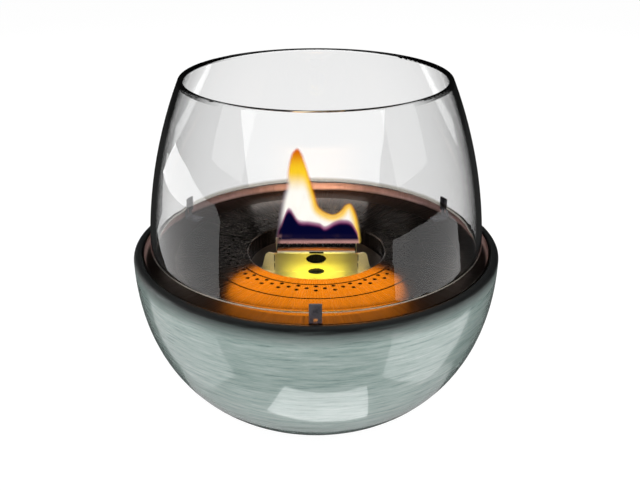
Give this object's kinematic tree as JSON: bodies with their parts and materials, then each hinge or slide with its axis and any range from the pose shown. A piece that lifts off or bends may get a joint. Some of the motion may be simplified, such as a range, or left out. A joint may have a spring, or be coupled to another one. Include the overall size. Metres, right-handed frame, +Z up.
{
  "type": "tabletop fireplace",
  "caption": "Table fireplace: ceramic bowl with a metal tray in its rim, an open glass on clips, and a lift-out liquid-fuel burner with a perforated ring and a wick box.",
  "frame": {"origin": "middle of the flat face that stands on the table, under the bowl's foot", "axes": "+Z up along the bowl's axis, -Y to the front, where one glass clip and the wick box's window face"},
  "size_m": [0.25, 0.25, 0.2326],
  "materials": {
    "glaze": "brushed sage glaze with a black rim",
    "bronzed_steel": "dark bronzed, radially brushed",
    "clip_steel": "satin dark grey",
    "polished_steel": "polished",
    "plain_steel": "plain drawn",
    "fibre": "matted mineral fibre",
    "pad_silicone": "matt",
    "clear_glass": "clear, fire-polished edge"
  },
  "bodies": {
    "base": {"ceramic_bowl": "glaze", "foot_pads": "pad_silicone", "tray_gasket": "fibre", "burner_tray": "bronzed_steel", "front_glass_clip": "clip_steel", "right_glass_clip": "clip_steel", "left_glass_clip": "clip_steel", "clip_rivets": "clip_steel", "clip_pads": "pad_silicone"},
    "glass": {"glass_shade": "clear_glass"},
    "burner": {"burner_ring": "bronzed_steel", "burner_collar": "bronzed_steel", "fuel_tank": "plain_steel", "overflow_pan": "plain_steel", "tank_wool": "fibre"},
    "wick_insert": {"wick_box_base": "polished_steel", "wick_box_front": "polished_steel", "wick_box_back": "polished_steel", "wick_sleeve": "plain_steel", "wick": "fibre"}
  },
  "joints": [
    {"name": "glass_lift", "type": "slide", "parent": "base", "child": "glass", "axis": [0, 0, 1], "range_m": [0, 0.12]},
    {"name": "burner_lift", "type": "slide", "parent": "base", "child": "burner", "axis": [0, 0, 1], "range_m": [0, 0.08]},
    {"name": "wick_insert_lift", "type": "slide", "parent": "burner", "child": "wick_insert", "axis": [0, 0, 1], "range_m": [0, 0.04]}
  ]
}
